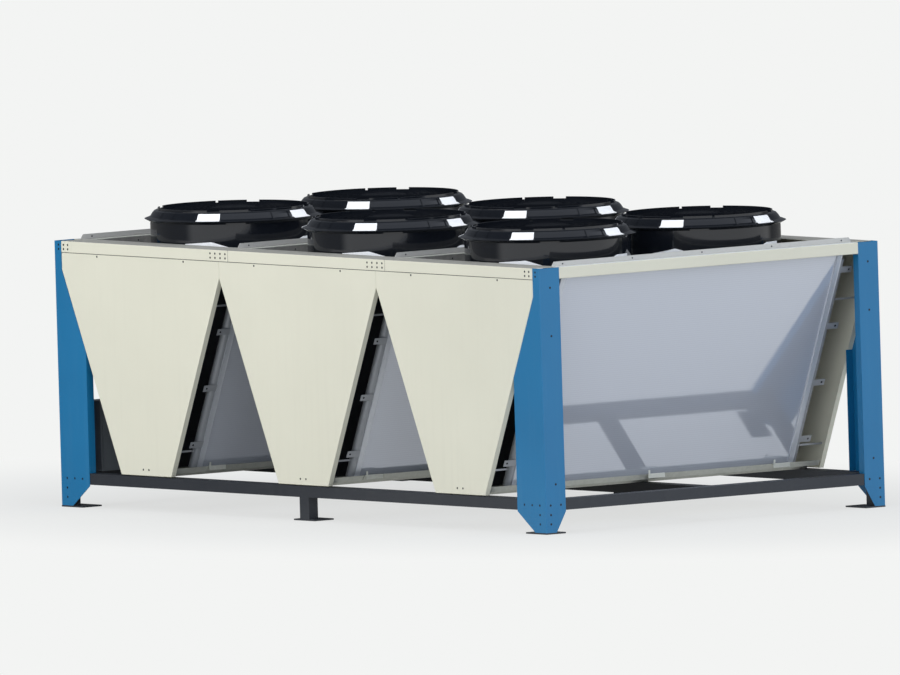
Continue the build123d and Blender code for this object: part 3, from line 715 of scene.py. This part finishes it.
makeCoilEdges(coilEdges)

# folded clips over the tray lips: a leaf on the lip, a standing face, and an ear at one end
trayClips = {"long": 112 * mm, "tall": 22 * mm, "deep": 12 * mm, "thick": 1.6 * mm, "proud": 1 * mm,
             "places": (-849 * mm, 0.0, 849 * mm), "earWide": 12 * mm, "earTall": 20 * mm}


def makeTrayClips(look):
    bm = bmesh.new()
    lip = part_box("coil_trays")[1]
    outer = lip.x - moduleX[2] + look["proud"]
    overLip = lip.z + look["thick"]
    for cx in moduleX:
        for sign in (-1, 1):
            inX, outX = (cx + sign * (outer - look["deep"]), cx + sign * outer)
            for mid in look["places"]:
                first = mid - sign * look["long"] / 2
                line = [bm.verts.new((x, first, z)) for x, z in
                        ((inX, overLip), (outX, overLip), (outX, lip.z - look["tall"]))]
                edges = [bm.edges.new(pair) for pair in zip(line[:-1], line[1:])]
                leaf = newVerts(bmesh.ops.extrude_edge_only(bm, edges=edges))
                bmesh.ops.translate(bm, verts=leaf, vec=(0, sign * look["long"], 0))
                root = [bm.verts.new((outX, first + sign * y, overLip)) for y in (0.0, look["earWide"])]
                ear = newVerts(bmesh.ops.extrude_edge_only(bm, edges=[bm.edges.new(root)]))
                bmesh.ops.translate(bm, verts=ear, vec=(0, 0, look["earTall"]))
    bmesh.ops.recalc_face_normals(bm, faces=bm.faces)
    bmesh.ops.solidify(bm, geom=bm.faces, thickness=look["thick"])
    keepPiece(bm, "tray_clips", clipFinish)


makeTrayClips(trayClips)

# dark strips of painted shadow in the joints of the long rails, where the gaps fall in shade: one under each rail and
# one at each splice
railShadowGaps = {"wide": 2.6 * mm, "sunk": 1.0 * mm, "proud": 0.3 * mm, "splice": 80 * mm}


def makeRailShadowGaps(look):
    bm = bmesh.new()
    deep = look["sunk"] + look["proud"]
    upright = (look["wide"] / 2, deep, topZ - railZ)
    for sign in (-1, 1):
        y = sign * (halfY + (look["proud"] - look["sunk"]) / 2)
        strips = [((boundX[3] - boundX[0], deep, look["wide"]), (0.0, y, railZ))]
        strips += [(upright, (-sign * (x + look["splice"]), y, (topZ + railZ) / 2)) for x in boundX[1:3]]
        for size, place in strips:
            strip = bmesh.ops.create_cube(bm, size=1.0)["verts"]
            bmesh.ops.scale(bm, verts=strip, vec=size)
            bmesh.ops.translate(bm, verts=strip, vec=place)
    keepPiece(bm, "rail_shadow_gaps", shadowGapFinish)


makeRailShadowGaps(railShadowGaps)

# the room and the floor in reflections are bright on one side, with a soft edge
brightSide = (0.968, -0.25, 0.0)
brightEdge = {"interpolation_type": "SMOOTHSTEP", "From Min": -0.14, "From Max": 0.12}

# floor that fades into the backdrop, with the shadow of the unit kept near it
stageLook = {"floor": "#C8C9C8", "backdrop": "#F3F4F3", "near": 2.6, "far": 5.5, "squeeze": 0.62,
             "size": 30.0, "sides": 64, "drop": 0.001, "own": 0.75, "dim": 0.2}


def makeStage(look):
    bm = bmesh.new()
    bmesh.ops.create_circle(bm, cap_ends=True, segments=look["sides"], radius=look["size"])
    bmesh.ops.translate(bm, verts=bm.verts, vec=(0, 0, -look["drop"]))
    mesh = bpy.data.meshes.new("floor")
    bm.to_mesh(mesh)
    bm.free()
    floor = bpy.data.objects.new("floor", mesh)
    bpy.context.scene.collection.objects.link(floor)
    material, tree, place = startMaterial("paleFloor")
    flat = addNode(tree, "ShaderNodeMapping", {"Scale": (look["squeeze"], 1.0, 0.0)}, {"Vector": place})
    away = addNode(tree, "ShaderNodeVectorMath", {"operation": "LENGTH"}, {0: flat.outputs[0]})
    fade = addNode(tree, "ShaderNodeMapRange",
                   {"interpolation_type": "SMOOTHSTEP", "From Min": look["near"] * look["squeeze"],
                    "From Max": look["far"] * look["squeeze"]},
                   {"Value": away.outputs["Value"]})
    lit = addNode(tree, "ShaderNodeBsdfDiffuse", {"Color": linear(look["floor"])})
    # mirrored, it is bright on the same side as the room
    outward = addNode(tree, "ShaderNodeVectorMath", {"operation": "NORMALIZE"}, {0: place})
    turned = addNode(tree, "ShaderNodeVectorMath", {"operation": "DOT_PRODUCT", 1: brightSide},
                     {0: outward.outputs[0]})
    bright = addNode(tree, "ShaderNodeMapRange", {**brightEdge, "To Min": look["dim"]},
                     {"Value": turned.outputs["Value"]})
    # the floor's own light only shows it to the camera and in reflections, and lights nothing
    path = addNode(tree, "ShaderNodeLightPath")
    shiny = addNode(tree, "ShaderNodeMath", {"operation": "MAXIMUM"},
                    {0: path.outputs["Is Glossy Ray"], 1: path.outputs["Is Transmission Ray"]})
    seen = addNode(tree, "ShaderNodeMath", {"operation": "MAXIMUM"},
                   {0: path.outputs["Is Camera Ray"], 1: shiny.outputs[0]})
    share = addNode(tree, "ShaderNodeMapRange", {"To Min": look["own"], "To Max": 1.0}, {"Value": fade.outputs[0]})
    shown = addNode(tree, "ShaderNodeMath", {"operation": "MULTIPLY"}, {0: share.outputs[0], 1: seen.outputs[0]})
    power = addNode(tree, "ShaderNodeMath", {"operation": "MAXIMUM"},
                    {0: path.outputs["Is Camera Ray"], 1: bright.outputs[0]})
    glow = addNode(tree, "ShaderNodeEmission", {"Color": linear(look["backdrop"])}, {"Strength": power.outputs[0]})
    mix = addNode(tree, "ShaderNodeMixShader", links={0: shown.outputs[0], 1: lit.outputs[0], 2: glow.outputs[0]})
    endMaterial(tree, mix)
    mesh.materials.append(material)
    print("floor laid")


makeStage(stageLook)

# even studio light: a room that is bright on the right and dim overhead and on the left, with a broad key
room = {"light": (0.84, 0.895, 1.0), "dim": 0.6, "mirroredDim": 0.14, "bright": 1.7,
        "overhead": 0.4, "overheadFrom": 0.2, "overheadTo": 0.9, "backdrop": "#F3F4F3"}
lampAim = (0.0, 0.0, 0.7)
lamps = (
    {"name": "key", "place": (-2.6, -9.0, 4.5), "size": 7.0, "power": 305.0, "tint": (1.0, 0.975, 0.94),
     "mirrored": True},
    {"name": "top", "place": (1.0, -1.0, 8.0), "size": 6.0, "power": 200.0, "tint": (1.0, 1.0, 1.0),
     "mirrored": False},
)


def lightRoom(settings):
    world = bpy.data.worlds.new("room")
    bpy.context.scene.world = world
    world.use_nodes = True
    tree = world.node_tree
    tree.nodes.clear()
    toward = addNode(tree, "ShaderNodeTexCoord").outputs["Generated"]
    axis = addNode(tree, "ShaderNodeSeparateXYZ", links={"Vector": toward})
    turned = addNode(tree, "ShaderNodeVectorMath", {"operation": "DOT_PRODUCT", 1: brightSide}, {0: toward})
    path = addNode(tree, "ShaderNodeLightPath")
    dim = addNode(tree, "ShaderNodeMapRange", {"To Min": settings["dim"], "To Max": settings["mirroredDim"]},
                  {"Value": path.outputs["Is Glossy Ray"]})
    across = addNode(tree, "ShaderNodeMapRange", {**brightEdge, "To Max": settings["bright"]},
                     {"Value": turned.outputs["Value"], "To Min": dim.outputs[0]})
    overhead = addNode(tree, "ShaderNodeMapRange",
                       {"interpolation_type": "SMOOTHSTEP", "From Min": settings["overheadFrom"],
                        "From Max": settings["overheadTo"], "To Min": 1.0, "To Max": settings["overhead"]},
                       {"Value": axis.outputs["Z"]})
    level = addNode(tree, "ShaderNodeMath", {"operation": "MULTIPLY"},
                    {0: across.outputs[0], 1: overhead.outputs[0]})
    seen = addNode(tree, "ShaderNodeMath", {"operation": "MAXIMUM"},
                   {0: path.outputs["Is Camera Ray"], 1: path.outputs["Is Transmission Ray"]})
    fill = addNode(tree, "ShaderNodeBackground", {"Color": (*settings["light"], 1.0)}, {"Strength": level.outputs[0]})
    back = addNode(tree, "ShaderNodeBackground", {"Color": linear(settings["backdrop"]), "Strength": 1.0})
    mix = addNode(tree, "ShaderNodeMixShader", links={0: seen.outputs[0], 1: fill.outputs[0], 2: back.outputs[0]})
    addNode(tree, "ShaderNodeOutputWorld", links={"Surface": mix.outputs[0]})


def hangLamp(lamp):
    data = bpy.data.lights.new(lamp["name"], "AREA")
    data.energy = lamp["power"]
    data.size = lamp["size"]
    data.color = lamp["tint"]
    light = bpy.data.objects.new(lamp["name"], data)
    bpy.context.scene.collection.objects.link(light)
    light.visible_glossy = lamp["mirrored"]
    light.location = lamp["place"]
    light.rotation_euler = (Vector(lampAim) - light.location).to_track_quat("-Z", "Y").to_euler()


lightRoom(room)
for lamp in lamps:
    hangLamp(lamp)
bpy.context.scene.view_settings.view_transform = "Standard"
print("lights set")
